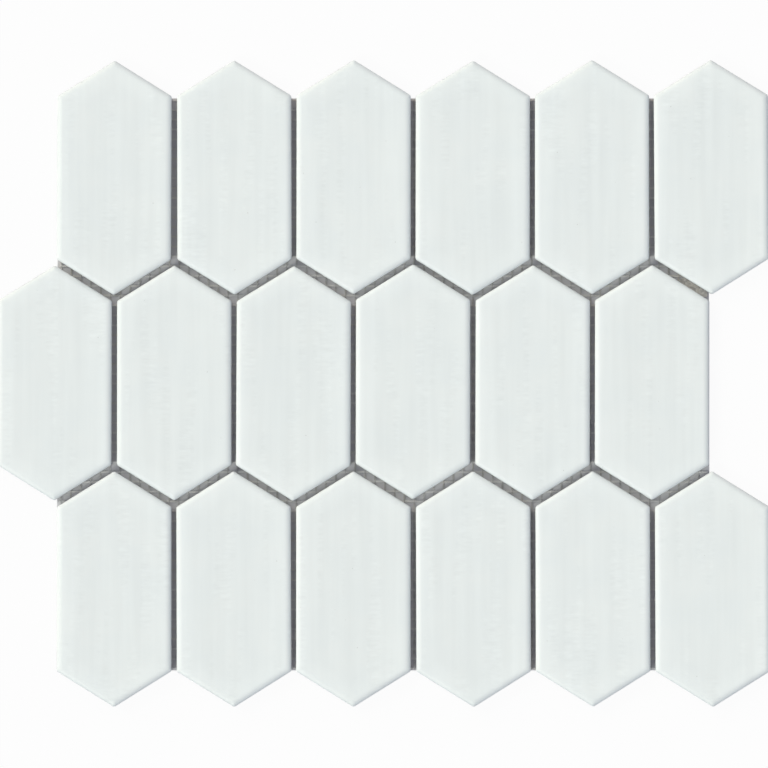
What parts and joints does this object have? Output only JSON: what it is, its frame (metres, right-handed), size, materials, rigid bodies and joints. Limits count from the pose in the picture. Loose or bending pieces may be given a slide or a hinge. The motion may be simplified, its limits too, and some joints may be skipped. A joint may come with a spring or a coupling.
{
  "type": "picket mosaic tile sheet",
  "caption": "Mesh-mounted mosaic sheet of elongated hexagonal glazed porcelain tiles in staggered rows, with open joints for grout and notched edges that interlock with the next sheet.",
  "frame": {"origin": "middle of the sheet's outline, on the plane that the underside of the net lies on", "axes": "+Z out of the glazed faces; +X along the rows, towards the end where the top and bottom rows stick out; +Y across the rows, along the tiles' length"},
  "size_m": [0.305, 0.256, 0.0068],
  "materials": {
    "white_glaze": "satin",
    "glass_fibre_net": "matte"
  },
  "bodies": {
    "root": {"tile_top_1": "white_glaze", "tile_top_2": "white_glaze", "tile_top_3": "white_glaze", "tile_top_4": "white_glaze", "tile_top_5": "white_glaze", "tile_top_6": "white_glaze", "tile_middle_1": "white_glaze", "tile_middle_2": "white_glaze", "tile_middle_3": "white_glaze", "tile_middle_4": "white_glaze", "tile_middle_5": "white_glaze", "tile_middle_6": "white_glaze", "tile_bottom_1": "white_glaze", "tile_bottom_2": "white_glaze", "tile_bottom_3": "white_glaze", "tile_bottom_4": "white_glaze", "tile_bottom_5": "white_glaze", "tile_bottom_6": "white_glaze", "net_top": "glass_fibre_net", "net_middle": "glass_fibre_net", "net_bottom": "glass_fibre_net"}
  },
  "joints": []
}
